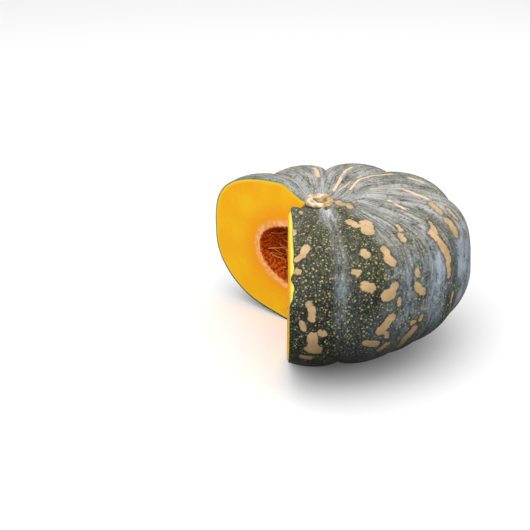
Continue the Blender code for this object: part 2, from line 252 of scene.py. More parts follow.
# The stub of the stem. Its top profile is metres out and up from its top. Its foot is metres out, and up
# from the rind at the radius between them.
STUB_HEIGHT = 0.0046
STUB_TOP_PROFILE = (
    (0.0, -0.0034),
    (0.0022, -0.0033),
    (0.0040, -0.0027),
    (0.0052, -0.0013),
    (0.0064, -0.0001),
    (0.0078, 0.0004),
    (0.0092, -0.0001),
    (0.0104, -0.0012),
    (0.0111, -0.0024),
    (0.0113, -0.0036),
)
STUB_FOOT_PROFILE = ((0.0109, 0.0112, 0.0004), (0.0098, 0.0100, -0.0006))
STUB_FOOT_RADIUS = 0.0112
STUB_RIM_BAND, STUB_RIM_SIDE, STUB_HOLLOW = (0.0078, 0.0018, 0.0016), (-0.004, 0.010), (0.0044, 0.0062)
STUB_WANDER, STUB_WANDERS_PER_METRE = 0.0012, 420
STUB_STEPS = 72
STUB_RIDGES, STUB_RIDGE_HEIGHT = 5, 0.0007
STUB_LUMPS = ((260, 0.0010), (800, 0.0003))
STUB_WORN_SIDE, STUB_WORN_DOWN, STUB_WORN_IN = (-0.004, 0.011), 0.74, (0.10, 0.16)

# The pulp: its core, then the strings, with levels from -1 at the cavity's floor to 1 at its roof
CORE_STEPS_ROUND, CORE_STEPS_DOWN = 140, 70
CORE_KEPT_STEPS_ROUND, CORE_KEPT_STEPS_DOWN, CORE_RINGS = 180, 110, 22
CORE_RADIUS, CORE_WAIST, CORE_SHOULDER, CORE_REACH = 0.0250, 0.0040, 1.25, 1.03
CORE_LOBES, CORE_LOBE_HEIGHT = 7, 0.0014
CORE_STRINGS, CORE_STRING_HEIGHT = (520, 520, 130), 0.0011
CORE_LUMPS, CORE_LUMP_HEIGHT = 170, 0.0010
STRINGS = 620
WALL_STRINGS = 420
STRING_LEVELS, WALL_STRING_LEVELS = (-0.88, 0.88), (-0.92, 0.75)
STRING_MARGIN, STRING_SWING, STRING_DRIFT = 2.0, 11.0, 0.005
STRING_START, STRING_END, STRING_WALL_GAP = 0.015, 0.0235, 0.002
STRING_REACH, STRING_REACH_POWER = 0.030, 1.6
STRING_START_LEVEL, STRING_END_LEVEL = 0.86, 0.9
STRING_START_CLEAR, STRING_END_CLEAR = 0.0003, 0.0006
WALL_STRING_ROOT, WALL_STRING_LENGTH = 0.001, (0.004, 0.012)
STRING_THICKNESS = (0.00035, 0.0008)
STRING_SAG, STRING_CURL = (-0.05, 0.16), 0.08
STRING_SIDES, STRING_CUTS = 5, 5

# The seeds: those in rows, then those that the knife laid bare, as reach, level and lean
SEED_WIDTH, SEED_THICKNESS, SEED_LENGTH = 0.0095, 0.0034, 0.0165
SEED_COLUMNS, SEED_ROWS = 11, 3
SEED_ROW_RADIUS, SEED_ROW_HEIGHT = 0.0225, 0.66
SEED_MARGIN, SEED_SWING, SEED_STAGGER = 14.0, 5.0, 8.0
SEED_CLEAR, SEED_TILT, SEED_ROLL, SEED_STAND_OUT = 0.006, 0.7, 0.5, 0.0002
BARE_SEEDS = ((0.0090, 0.42, 0.5), (0.0050, -0.02, 0.9), (0.0090, -0.50, -0.3))

# Random seeds
RIND_CHANCE, PULP_CHANCE, SEED_CHANCE = 7, 8, 21

# Heights at which a look of the rind starts and is full, and how far from a patch's edge its parts lie
BLUE_GROUND, OLIVE_GROUND = (0.080, 0.030), (0.070, 0.112)
# The second pair on the next line darkens the rind towards the bottom: painted shade, for light that falls
# from above.
LILAC_WAX, FOOT_PAINTED_SHADE = (0.082, 0.108), (0.062, 0.008)
PATCH_WANDER, PATCH_HALO, PATCH_EDGE = 0.0034, (0.0030, 0.0), (0.0003, -0.0008)
STREAK_EDGE = (0.0004, -0.0004)
# Distances from the cavity's wall and from the rind at which a look of the flesh starts and is full
DEEP_FLESH, FRINGE, FRINGE_RAGGED, WALL = (0.026, 0.004), (0.0075, 0.0035), 0.006, (0.0016, 0.0004)
YELLOW_UNDER_RIND, GREEN_UNDER_RIND = (0.0030, 0.0008), (0.0009, 0.0002)

# Floor and light: name, place, size and power of each lamp
FLOOR_SIZE = 6.0
WORLD_STRENGTH = 0.75
LAMPS = (
    ("overhead", (0.05, 0.05, 1.2), 1.7, 9.0),
    ("front_left", (-0.9, -1.0, 0.8), 1.4, 10.5),
    ("right", (1.2, -0.5, 0.9), 1.3, 3.0),
)
LAMP_TARGET_HEIGHT = 0.05


def smoothstep(low, high, value):
    t = min(1.0, max(0.0, (value - low) / (high - low)))
    return t * t * (3 - 2 * t)


def direction(bearing):
    angle = math.radians(bearing)
    return Vector((math.sin(angle), -math.cos(angle), 0.0))


def rib_at(turn):
    """The furrows on both sides and how far across the rib a turn is. Each rib takes an equal share."""
    count = len(FURROWS)
    turn %= 1.0
    number = int(turn * count) % count
    start, end = FURROWS[number], FURROWS[(number + 1) % count]
    if number == count - 1:
        end = (end[0] + 360.0, end[1] + 360.0, end[2])
    return start, end, turn * count - int(turn * count)


def stem_dip(radius):
    return STEM_DIP * (1 - smoothstep(STEM_SEAT_RADIUS, STEM_DIP_RADIUS, radius))


def lean_over(point, level):
    return Vector((point.x - point.z * LEAN, point.y, point.z + point.x * LEAN * (1 - level)))


def skin_point(turn, polar):
    """A point of the rind and its bearing at the fruit's side, from its turn and its angle from the top."""
    out, up = math.sin(polar), math.cos(polar)
    start, end, across = rib_at(turn)
    twist = smoothstep(0.0, TWIST_FULL_UP, up)
    side = start[0] + (end[0] - start[0]) * across
    top = start[1] + (end[1] - start[1]) * across
    bearing = side + (top - side) * twist

    power = BOTTOM_SQUARENESS
    if up > 0:
        power = TOP_SQUARENESS + TOP_SQUARENESS_SWING * math.cos(math.radians(bearing - SQUAREST_BEARING))
        power += SHOULDER_SQUARENESS * math.exp(-(((bearing - SHOULDER_BEARING) / SHOULDER_SPREAD) ** 2))
    reach = (out**power + abs(up) ** power) ** (-1 / power)
    radius = RADIUS * reach * out
    height = (RISE if up > 0 else DROP) * reach * up

    narrow = min(1.0, ((end[0] - start[0]) / FULL_RIB) ** RIB_ROUNDNESS)
    crest = narrow * max(0.0, 4 * across * (1 - across)) ** RIB_ROUNDNESS
    pole_depth = FURROW_TOP if up > 0 else FURROW_BOTTOM
    depth = FURROW_SIDE + (pole_depth - FURROW_SIDE) * smoothstep(0.0, POLE_DEPTH_UP, abs(up))
    depth *= start[2] + (end[2] - start[2]) * across
    depth *= smoothstep(SMOOTH_POLE_RADIUS, 4 * SMOOTH_POLE_RADIUS, radius)
    radius, height = radius * (1 - depth * (1 - crest)), height * (1 - depth * (1 - crest))

    if up > 0:
        height -= stem_dip(radius)
    else:
        height += BLOSSOM_DIP * math.exp(-((radius / BLOSSOM_DIP_RADIUS) ** 2))
    level = 0.0 if up > 0 else 1 - smoothstep(LEVEL_BASE_RADIUS, 2 * LEVEL_BASE_RADIUS, radius)
    point = lean_over(direction(bearing) * radius + Vector((0, 0, height)), level)
    point.z = max(point.z + EQUATOR_HEIGHT, 0.0)
    return point + CENTRE, side


def cavity_height(up):
    """The height above the cavity's middle of a level from -1 at its floor to 1 at its roof."""
    return (CAVITY_ROOF if up > 0 else CAVITY_HALF_HEIGHT) * up


def cavity_point(turn, polar):
    out, up = math.sin(polar), math.cos(polar)
    reach = (out**CAVITY_SQUARENESS + abs(up) ** CAVITY_SQUARENESS) ** (-1 / CAVITY_SQUARENESS)
    ripple = CAVITY_RIPPLE * math.cos(math.radians(turn * 360.0 * CAVITY_RIPPLES)) * out
    radius = (CAVITY_RADIUS + ripple) * reach * out
    height = cavity_height(reach * up) + CAVITY_CENTRE_HEIGHT
    return direction(turn * 360.0) * radius + Vector((0, 0, height)) + CENTRE


def wrapped_grid(steps_round, steps_down, first=0.0, values=(), uv=None):
    """A grid to wrap round the fruit from the turn first on, and each vertex's (turn, angle from top)."""
    bm = bmesh.new()
    for name in values:
        bm.verts.layers.float.new(name)
    if uv:
        bm.loops.layers.uv.new(uv)
    bmesh.ops.create_grid(bm, x_segments=steps_round, y_segments=steps_down, size=0.5)
    places = {}
    for vert in bm.verts:
        polar = (0.5 - vert.co.y) * math.pi
        places[vert] = (first + (vert.co.x + 0.5), min(math.pi, max(0.0, polar)))
    return bm, places


def close_seam(bm):
    """Joins the wrapped grid's sides and its rows at the poles."""
    bmesh.ops.remove_doubles(bm, verts=bm.verts[:], dist=SAME_PLACE)
    bm.normal_update()


def face_bend():
    """Where the front face of the cut turns straight forward."""
    return CUT_CORNER + direction(CUT_FRONT) * CUT_BEND


def inner_corner():
    """The inner corner of the cut, level with the middle of the cavity."""
    return Vector((CUT_CORNER.x, CUT_CORNER.y, CAVITY_CENTRE_HEIGHT))


def past_forward(point):
    """How far right of the front face a point is, beyond that face's bend."""
    return direction(CUT_FORWARD).cross(point - face_bend()).z


def past_cut(point):
    """How far inside the part that the knife leaves a point is, negative in the notch."""
    offset = point - CUT_CORNER
    past_short = direction(CUT_FRONT).cross(offset).z
    past_left = -direction(CUT_LEFT).cross(offset).z
    return max(past_left, min(past_short, past_forward(point)))


# The camera comes first, because the patches are placed through it


def make_camera():
    target = CENTRE + Vector((0, 0, EQUATOR_HEIGHT))
    tilt = math.radians(CAMERA_ELEVATION)
    eye = target + Vector((0, -math.cos(tilt), math.sin(tilt))) * CAMERA_DISTANCE
    ahead = Vector((0, math.cos(tilt), -math.sin(tilt)))
    above = Vector((0, math.sin(tilt), math.cos(tilt)))
    aside = IMAGE_SIZE / 2 - FRUIT_MIDDLE_PIXEL[0]
    down = IMAGE_SIZE / 2 - FRUIT_MIDDLE_PIXEL[1]
    look = ahead * FOCAL_PIXELS + Vector((1, 0, 0)) * aside - above * down
    data = bpy.data.cameras.new("camera")
    data.sensor_width = SENSOR
    data.lens = FOCAL_PIXELS / IMAGE_SIZE * SENSOR
    data.clip_start = NEAREST_SEEN
    made = bpy.data.objects.new("camera", data)
    made.matrix_world = Matrix.Translation(eye) @ look.to_track_quat("-Z", "Y").to_matrix().to_4x4()
    bpy.context.scene.collection.objects.link(made)
    bpy.context.scene.camera = made
    return made


def ray_through(camera, pixel):
    """The camera's place and the direction through a pixel of the photograph."""
    turned = camera.matrix_world.to_3x3()
    aside, down = pixel[0] - IMAGE_SIZE / 2, pixel[1] - IMAGE_SIZE / 2
    return camera.matrix_world.translation, (turned @ Vector((aside, -down, -FOCAL_PIXELS))).normalized()


# Pieces


def finish_piece(bm, name, mat, slot, *nodes):
    mesh = kept_as_mesh(bm, name)
    mesh.materials.append(mat)
    mesh.shade_smooth()
    made = bpy.data.objects.new(name, mesh)
    bpy.context.scene.collection.objects.link(made)
    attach(made, "root")
    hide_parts(*nodes)
    return made


def mark_distance(values, tree, verts, points, half_width):
    """Lowers each nearby vertex's distance to a mark that runs through the points."""
    pairs = list(zip(points, points[1:])) or [(points[0], points[0])]
    for start, end in pairs:
        along = end - start
        middle = (start + end) / 2
        for _, index, _ in tree.find_range(middle, along.length / 2 + half_width + FAR_FROM_MARKS):
            co = verts[index].co
            share = 0.0
            if along.length > SAME_PLACE:
                share = min(1.0, max(0.0, (co - start).dot(along) / along.length_squared))
            away = (co - start - along * share).length - half_width
            values[index] = min(values[index], away)


def seen_marks(camera, shell, marks):
    """Marks of the photograph, as (points on the rind, half width in metres)."""
    found = []
    for pixels, half_width in marks.values():
        hits = [shell.ray_cast(*ray_through(camera, pixel))[0] for pixel in pixels]
        hits = [hit for hit in hits if hit]
        if hits:
            found.append((hits, half_width / 1000))
    return found


def in_sight(camera, shell, points):
    """True where the camera sees any of the points of the shell."""
    eye = camera.matrix_world.translation
    hits = [shell.ray_cast(eye, (point - eye).normalized())[0] for point in points]
    return any((hit - point).length < SEEN_WITHIN for hit, point in zip(hits, points) if hit)


def hidden_marks(camera, shell, chance):
    """Patches and streaks for the sides that the photograph doesn't show, in much the same sizes."""
    found = []
    for _ in range(HIDDEN_PATCHES):
        bearing = HIDDEN_PATCH_BEARING + chance.uniform(0, HIDDEN_PATCH_SPREAD)
        polar = math.radians(chance.uniform(*HIDDEN_PATCH_DOWN))
        turn = turn_of(bearing)
        length = math.radians(chance.uniform(*HIDDEN_PATCH_LENGTH))
        slant = chance.uniform(-HIDDEN_PATCH_SLANT, HIDDEN_PATCH_SLANT)
        points = [skin_point(turn + slant * step, polar + length * step)[0] for step in (-1, 0, 1)]
        found.append((points, chance.uniform(*HIDDEN_PATCH_HALF_WIDTH)))
    for _ in range(HIDDEN_STREAKS):
        turn = turn_of(HIDDEN_STREAK_BEARING + chance.uniform(0, HIDDEN_STREAK_SPREAD))
        start = math.radians(chance.uniform(*HIDDEN_STREAK_DOWN))
        length = math.radians(chance.uniform(*HIDDEN_STREAK_LENGTH))
        points = [skin_point(turn, start + length * step / 3)[0] for step in range(4)]
        found.append((points, chance.uniform(*HIDDEN_STREAK_HALF_WIDTH)))
    return [mark for mark in found if not in_sight(camera, shell, mark[0])]


def turn_of(bearing):
    """The share of a turn at which a bearing of the fruit's side lies."""
    count = len(FURROWS)
    for number in range(count):
        start = FURROWS[number][0]
        end = FURROWS[number + 1][0] if number + 1 < count else FURROWS[0][0] + 360.0
        if start <= bearing < end:
            return (number + (bearing - start) / (end - start)) / count
    return turn_of(bearing + 360.0) if bearing < FURROWS[0][0] else turn_of(bearing - 360.0)


def band(value, middle, half_width, soft):
    """1 within half_width of the middle, falling to 0 over soft."""
    return 1 - smoothstep(half_width, half_width + soft, abs(value - middle))


def bloom_at(side, polar):
    """How thick the pale wax lies: in bands along the ribs, over the top, thickest in front of the stem."""
    down = math.degrees(polar)
    bearing = side if side <= WAX_BANDS[-1][0] else side - 360.0
    bearing = max(bearing, WAX_BANDS[0][0])
    for (left, left_high, left_low), (right, right_high, right_low) in zip(WAX_BANDS, WAX_BANDS[1:]):
        if left <= bearing <= right:
            share = smoothstep(left, right, bearing)
            high = left_high + (right_high - left_high) * share
            low = left_low + (right_low - left_low) * share
    amount = high + (low - high) * smoothstep(*WAX_SIDE_TO_FOOT, down)
    top = (1 - smoothstep(*WAX_TOP_ENDS, down)) * smoothstep(*WAX_TOP_STARTS, bearing)
    near_stem = 1 - smoothstep(*WAX_STEM_ENDS, down)
    beside_stem = near_stem * smoothstep(*WAX_STEM_SIDE, bearing)
    on_top = WAX_TOP - WAX_TOP_LESS_BEHIND * smoothstep(*WAX_BEHIND, bearing)
    amount = amount * (1 - WAX_TOP_EVENS * top) + WAX_BESIDE_STEM * beside_stem + top * on_top
    dimple = band(bearing, *WAX_DIMPLE_BAND) * (1 - smoothstep(*WAX_DIMPLE_ENDS, down))
    return min(WAX_FULL, amount) + WAX_EXTRA_BESIDE_STEM * beside_stem + WAX_IN_DIMPLE * dimple


def edge_wander(point, depth):
    """How far right of the knife's plane the rind's edge is, high up where it strays."""
    if point.y > CUT_CORNER.y:
        return 0.0
    window = smoothstep(STRIP_LOW, STRIP_LOW + STRIP_FADE_DOWN, point.z)
    near = 1 - smoothstep(0.0, STRIP_FADE_AWAY, past_forward(point))
    waves = noise.noise(Vector((0.0, 0.0, point.z * STRIP_WAVES_PER_METRE)))
    uneven = STRIP_EVEN + STRIP_UNEVEN * waves
    return STRIP_WIDTH * uneven * window * near * (1 - smoothstep(0.0, STRIP_DEPTH, depth))


def rind_reference():
    """The whole fruit's skin, at the outer and at the inner side of the rind."""
    bm, places = wrapped_grid(REFERENCE_STEPS_ROUND, REFERENCE_STEPS_DOWN)
    for vert, (turn, polar) in places.items():
        vert.co = skin_point(turn, polar)[0]
    close_seam(bm)
    outer = BVHTree.FromBMesh(bm)
    for vert in bm.verts:
        vert.co -= vert.normal * RIND_THICKNESS
    inner = BVHTree.FromBMesh(bm)
    bm.free()
    return outer, inner


def cavity_reference():
    bm, places = wrapped_grid(CAVITY_STEPS_ROUND, CAVITY_STEPS_DOWN)
    for vert, (turn, polar) in places.items():
        vert.co = cavity_point(turn, polar)
    close_seam(bm)
    shell = BVHTree.FromBMesh(bm)
    bm.free()
    return shell


def make_rind(camera, outer, mat):
    names = ("bloom", "patch", "streak")
    notch_turn = turn_of(NOTCH_BEARING)
    bm, places = wrapped_grid(RIND_STEPS_ROUND, RIND_STEPS_DOWN, notch_turn, names, "along_ribs")
    layers = {name: bm.verts.layers.float[name] for name in names}
    uv = bm.loops.layers.uv["along_ribs"]
    verts = list(bm.verts)
    for vert in verts:
        turn, polar = places[vert]
        vert.co, side = skin_point(turn, polar)
        vert[layers["bloom"]] = bloom_at(side, polar)

    tree = KDTree(len(verts))
    for index, vert in enumerate(verts):
        tree.insert(vert.co, index)
    tree.balance()
    chance = random.Random(RIND_CHANCE)
    patches = [FAR_FROM_MARKS] * len(verts)
    for points, half_width in seen_marks(camera, outer, TAN_PATCHES) + hidden_marks(camera, outer, chance):
        mark_distance(patches, tree, verts, points, half_width)
    streaks = [FAR_FROM_MARKS] * len(verts)
    for points, half_width in seen_marks(camera, outer, PALE_STREAKS):
        mark_distance(streaks, tree, verts, points, half_width)
    for index, vert in enumerate(verts):
        vert[layers["patch"]] = patches[index]
        vert[layers["streak"]] = streaks[index]

    for face in bm.faces:
        for loop in face.loops:
            turn, polar = places[loop.vert]
            loop[uv].uv = ((turn - notch_turn) * 2 * math.pi * UV_RADIUS, polar * UV_RADIUS)

    close_seam(bm)
    cut_away(bm)
    for vert in bm.verts:
        vert.co.x += edge_wander(vert.co, 0.0)
    bm.normal_update()
    outwards = {tuple(vert.co): vert.normal.copy() for edge in rim_of(bm) for vert in edge.verts}
    for vert in extruded_rim(bm):
        vert.co -= outwards[tuple(vert.co)] * RIM_TUCK
    return finish_piece(bm, "rind", mat, "rind", "pumpkin_body")


def rim_of(bm):
    return [edge for edge in bm.edges if edge.is_boundary]


def extruded_rim(bm):
    """The new vertices that extruding the open rim of a mesh makes, still in their old places."""
    made = bmesh.ops.extrude_edge_only(bm, edges=rim_of(bm))
    return [item for item in made["geom"] if isinstance(item, bmesh.types.BMVert)]


def slice_at(bm, faces, place, normal):
    """Cuts the given faces along a plane, and returns the faces that they become."""
    geom = list(dict.fromkeys(item for face in faces for item in (face, *face.edges, *face.verts)))
    made = bmesh.ops.bisect_plane(bm, geom=geom, dist=SAME_PLACE, plane_co=place, plane_no=normal)
    return [item for item in made["geom"] if isinstance(item, bmesh.types.BMFace)]


def cut_away(bm):
    """Cuts along the faces of the knife and removes what lies between them."""
    for place, bearing in ((CUT_CORNER, CUT_FRONT), (CUT_CORNER, CUT_LEFT), (face_bend(), CUT_FORWARD)):
        slice_at(bm, bm.faces, place, direction(bearing + 90.0))
    gone = [face for face in bm.faces if past_cut(face.calc_center_median()) < 0]
    bmesh.ops.delete(bm, geom=gone, context="FACES")


def sector(shell, steps_round, steps_down):
    """The part of a shell that two straight cuts from the inner corner leave."""
    bm, places = wrapped_grid(steps_round, steps_down)
    for vert, (share, polar) in places.items():
        away = direction(CUT_FRONT + share * KEPT_ANGLE) * max(1e-6, math.sin(polar))
        away.z = math.cos(polar)
        vert.co = shell.ray_cast(inner_corner(), away.normalized())[0]
    close_seam(bm)
    return bm


def trim_forward(bm):
    """Takes off what is left of the front face beyond its bend, and closes the solid with a fine grid."""
    bend = face_bend()
    slice_at(bm, front_faces(bm), bend, direction(CUT_FORWARD + 90.0))
    gone = [face for face in front_faces(bm) if past_forward(face.calc_center_median()) < 0]
    bmesh.ops.delete(bm, geom=gone, context="FACES")
    lid = bmesh.ops.holes_fill(bm, edges=rim_of(bm), sides=0)["faces"]
    lid = bmesh.ops.triangulate(bm, faces=lid)["faces"]
    for number in range(FRONT_FACE_COLUMNS):
        place = bend - Vector((0, FRONT_FACE_STEP * number, 0))
        lid = slice_at(bm, lid, place, direction(CUT_FORWARD))
    for number in range(FRONT_FACE_ROWS):
        lid = slice_at(bm, lid, Vector((0, 0, FRONT_FACE_STEP * number)), Vector((0, 0, 1)))


def front_faces(bm):
    """The faces that lie in front of the inner corner."""
    return [face for face in bm.faces if face.calc_center_median().y < CUT_CORNER.y]


def make_flesh(inner, cavity, mat):
    """The flesh: the cavity's wall, the faces of the cut, and the hidden side under the rind."""
    middle = inner_corner()
    bm = sector(cavity, FLESH_STEPS_ROUND, FLESH_STEPS_DOWN)
    walls = set(bm.faces)
    for vert in extruded_rim(bm):
        vert.co = inner.ray_cast(middle, (vert.co - middle).normalized())[0]
    cuts = [face for face in bm.faces if face not in walls]
    across = dict.fromkeys(edge for face in cuts for edge in face.edges if crosses(edge, walls))
    bmesh.ops.subdivide_edges(bm, edges=list(across), cuts=FLESH_RINGS, use_grid_fill=True)

    hidden = kept_as_mesh(sector(inner, FLESH_STEPS_ROUND, FLESH_STEPS_DOWN), "under_rind")
    bm.from_mesh(hidden)
    bpy.data.meshes.remove(hidden)
    bmesh.ops.remove_doubles(bm, verts=bm.verts[:], dist=SAME_RIM)
    trim_forward(bm)
    bm.normal_update()
    bmesh.ops.recalc_face_normals(bm, faces=bm.faces[:])

    under_skin = bm.verts.layers.float.new("under_skin")
    from_cavity = bm.verts.layers.float.new("from_cavity")
    strip = bm.verts.layers.float.new("strip")
    for vert in bm.verts:
        vert[under_skin] = inner.find_nearest(vert.co)[3]
        vert[from_cavity] = cavity.find_nearest(vert.co)[3]
        aside = edge_wander(vert.co, vert[under_skin])
        vert[strip] = aside / STRIP_WIDTH
        vert.co.x += aside
    return finish_piece(bm, "flesh", mat, "flesh", "pumpkin_body")


def crosses(edge, walls):
    """True for an edge that runs from the cavity's rim to the rind's."""
    on_wall = [any(face in walls for face in vert.link_faces) for vert in edge.verts]
    return on_wall[0] != on_wall[1]


def seat_height(radius):
    """How high above the widest place the plain top of the fruit lies, its dip taken off."""
    share = radius / RADIUS
    return RISE * (1 - share**TOP_SQUARENESS) ** (1 / TOP_SQUARENESS) - stem_dip(radius)


def on_stem_axis(bm):
    """Moves a mesh made round the origin onto the fruit's leaning axis."""
    tip = Matrix(((1, 0, -LEAN, 0), (0, 1, 0, 0), (LEAN, 0, 1, 0), (0, 0, 0, 1)))
    bm.transform(Matrix.Translation(CENTRE + Vector((0, 0, EQUATOR_HEIGHT))) @ tip)


def make_stub(mat):
    """The corky end of the stem: a lumpy raised rim round a shallow hollow."""
    seat = seat_height(0.0)
    top = seat + STUB_HEIGHT
    profile = [(radius, top + height) for radius, height in STUB_TOP_PROFILE]
    profile += [(radius, seat_height(seat_at) + height) for radius, seat_at, height in STUB_FOOT_PROFILE]
    bm = bmesh.new()
    points = [bm.verts.new((radius, 0.0, height)) for radius, height in profile]
    geom = points + [bm.edges.new(pair) for pair in zip(points, points[1:])]
    full_turn = {"cent": (0, 0, 0), "axis": (0, 0, 1), "angle": 2 * math.pi, "steps": STUB_STEPS}
    bmesh.ops.spin(bm, geom=geom, use_merge=True, **full_turn)
    bmesh.ops.remove_doubles(bm, verts=bm.verts[:], dist=1e-5)
    bm.normal_update()
    bmesh.ops.recalc_face_normals(bm, faces=bm.faces[:])
    # The stub is open below, where it sits in the rind, so its faces are turned over if they look down
    if sum(face.normal.z * face.calc_area() for face in bm.faces) < 0:
        bmesh.ops.reverse_faces(bm, faces=bm.faces[:])
    bmesh.ops.subdivide_edges(bm, edges=bm.edges[:], cuts=1, use_grid_fill=True, smooth=0.3)
    bm.normal_update()
    rim, hollow = bm.verts.layers.float.new("rim"), bm.verts.layers.float.new("hollow")
    for vert in bm.verts:
        radius = math.hypot(vert.co.x, vert.co.y)
        angle = math.atan2(vert.co.y, vert.co.x)
        wander = STUB_WANDER * noise.noise(vert.co * STUB_WANDERS_PER_METRE)
        vert[rim] = band(radius + wander, *STUB_RIM_BAND) * (1 - smoothstep(*STUB_RIM_SIDE, vert.co.x))
        vert[hollow] = 1 - smoothstep(*STUB_HOLLOW, radius + wander)
        ridge = STUB_RIDGE_HEIGHT * math.cos(STUB_RIDGES * angle) * smoothstep(0.004, 0.010, radius)
        vert.co.z += ridge * smoothstep(seat, top, vert.co.z)
        lump = sum(noise.noise(vert.co * per_metre) * size for per_metre, size in STUB_LUMPS)
        vert.co += vert.normal * lump * smoothstep(0.001, 0.006, radius)
        # The front right is worn down towards the rind and drawn in
        worn = smoothstep(*STUB_WORN_SIDE, (vert.co.x - vert.co.y) * 0.7)
        above_seat = max(0.0, vert.co.z - seat_height(min(radius, STUB_FOOT_RADIUS)))
        vert.co.z -= above_seat * STUB_WORN_DOWN * worn
        vert.co.x *= 1 - STUB_WORN_IN[0] * worn
        vert.co.y *= 1 - STUB_WORN_IN[1] * worn
    on_stem_axis(bm)
    return finish_piece(bm, "stem_end", mat, "stem", "stem_stub")


def kept_as_mesh(bm, name):
    mesh = bpy.data.meshes.new(name)
    bm.to_mesh(mesh)
    bm.free()
    return mesh


def pulp_core():
    """The mass of pulp round the stem's axis, cut where the knife went."""
    whole, places = wrapped_grid(CORE_STEPS_ROUND, CORE_STEPS_DOWN)
    for vert, (turn, polar) in places.items():
        out, up = math.sin(polar), math.cos(polar)
        lobes = CORE_LOBE_HEIGHT * math.cos(math.radians(turn * 360.0 * CORE_LOBES)) * out
        radius = CORE_RADIUS * min(1.0, CORE_SHOULDER * out) - CORE_WAIST * (1 - up * up) + lobes
        height = CORE_REACH * cavity_height(up) + CAVITY_CENTRE_HEIGHT
        radius *= smoothstep(0.0, 0.2, out)
        vert.co = direction(turn * 360.0) * radius + Vector((0, 0, height)) + CENTRE
    close_seam(whole)
    shell = BVHTree.FromBMesh(whole)
    whole.free()

    bm = sector(shell, CORE_KEPT_STEPS_ROUND, CORE_KEPT_STEPS_DOWN)
    outer = set(bm.verts)
    for vert in extruded_rim(bm):
        vert.co = Vector((CUT_CORNER.x, CUT_CORNER.y, vert.co.z))
    across = [edge for edge in bm.edges if (edge.verts[0] in outer) != (edge.verts[1] in outer)]
    bmesh.ops.subdivide_edges(bm, edges=across, cuts=CORE_RINGS, use_grid_fill=True)
    bmesh.ops.remove_doubles(bm, verts=bm.verts[:], dist=SAME_RIM)
    bm.normal_update()
    bmesh.ops.recalc_face_normals(bm, faces=bm.faces[:])
    bm.normal_update()
    for vert in bm.verts:
        spot = vert.co - CENTRE
        strings = noise.noise(spot * Vector(CORE_STRINGS))
        lumps = noise.noise(spot * CORE_LUMPS)
        vert.co += vert.normal * (CORE_STRING_HEIGHT * strings + CORE_LUMP_HEIGHT * lumps)
    return kept_as_mesh(bm, "pulp_core")


def make_pulp(mat):
    """The mass of pulp, the strings that leave it, and those that stand on the cavity's wall."""
    chance = random.Random(PULP_CHANCE)
    core, mesh = pulp_core(), string_mesh()
    bm = bmesh.new()
    bm.from_mesh(core)
    bpy.data.meshes.remove(core)
    for number in range(STRINGS + WALL_STRINGS):
        bearing = CUT_FRONT + STRING_MARGIN + chance.random() * (KEPT_ANGLE - 2 * STRING_MARGIN)
        level = chance.uniform(*STRING_LEVELS)
        reach = STRING_END + chance.random() ** STRING_REACH_POWER * STRING_REACH
        near, far = STRING_START, min(wall_radius(level) - STRING_WALL_GAP, reach)
        if number >= STRINGS:
            level = chance.uniform(*WALL_STRING_LEVELS)
            near = wall_radius(level) + WALL_STRING_ROOT
            far = wall_radius(level) - chance.uniform(*WALL_STRING_LENGTH)
        height = cavity_height(level)
        start = CENTRE + direction(bearing) * near
        start.z = CAVITY_CENTRE_HEIGHT + height * STRING_START_LEVEL
        end = CENTRE + direction(bearing + chance.uniform(-STRING_SWING, STRING_SWING)) * far
        end.z = CAVITY_CENTRE_HEIGHT + height * STRING_END_LEVEL
        end.z += chance.uniform(-STRING_DRIFT, STRING_DRIFT)
        if past_cut(end) > STRING_END_CLEAR and past_cut(start) > STRING_START_CLEAR:
            add_string(bm, mesh, start, end, chance)
    bpy.data.meshes.remove(mesh)
    return finish_piece(bm, "pulp", mat, "pulp", "seed_pulp")


def wall_radius(level):
    """How far the cavity's wall is from the axis at a level from -1 at its floor to 1 at its roof."""
    return CAVITY_RADIUS * math.sqrt(1 - level * level)


def string_mesh():
    """One tapering string, 1 long and 1 in radius at its thick end."""
    bm = bmesh.new()
    bmesh.ops.create_cone(bm, cap_ends=True, segments=STRING_SIDES, radius1=1.0, radius2=0.35, depth=1.0)
    sides = [edge for edge in bm.edges if abs(edge.verts[0].co.z - edge.verts[1].co.z) > 0.5]
    bmesh.ops.subdivide_edges(bm, edges=sides, cuts=STRING_CUTS)
    return kept_as_mesh(bm, "string")


def add_string(bm, mesh, start, end, chance):
    """Lays one string from start to end, with a droop and a slight curl."""
    thick = chance.uniform(*STRING_THICKNESS)
    turn = Vector((0, 0, 1)).rotation_difference((end - start).normalized()).to_matrix()
    sag = chance.uniform(*STRING_SAG) * (end - start).length
    curl = Vector([chance.uniform(-1, 1) for _ in range(3)]) * STRING_CURL * (end - start).length
    before = len(bm.verts)
    bm.from_mesh(mesh)
    bm.verts.ensure_lookup_table()
    for vert in bm.verts[before:]:
        share = vert.co.z + 0.5
        bow = math.sin(share * math.pi)
        centre = start.lerp(end, share) - Vector((0, 0, sag * share * share)) + curl * bow
        vert.co = centre + turn @ Vector((vert.co.x * thick, vert.co.y * thick, 0.0))


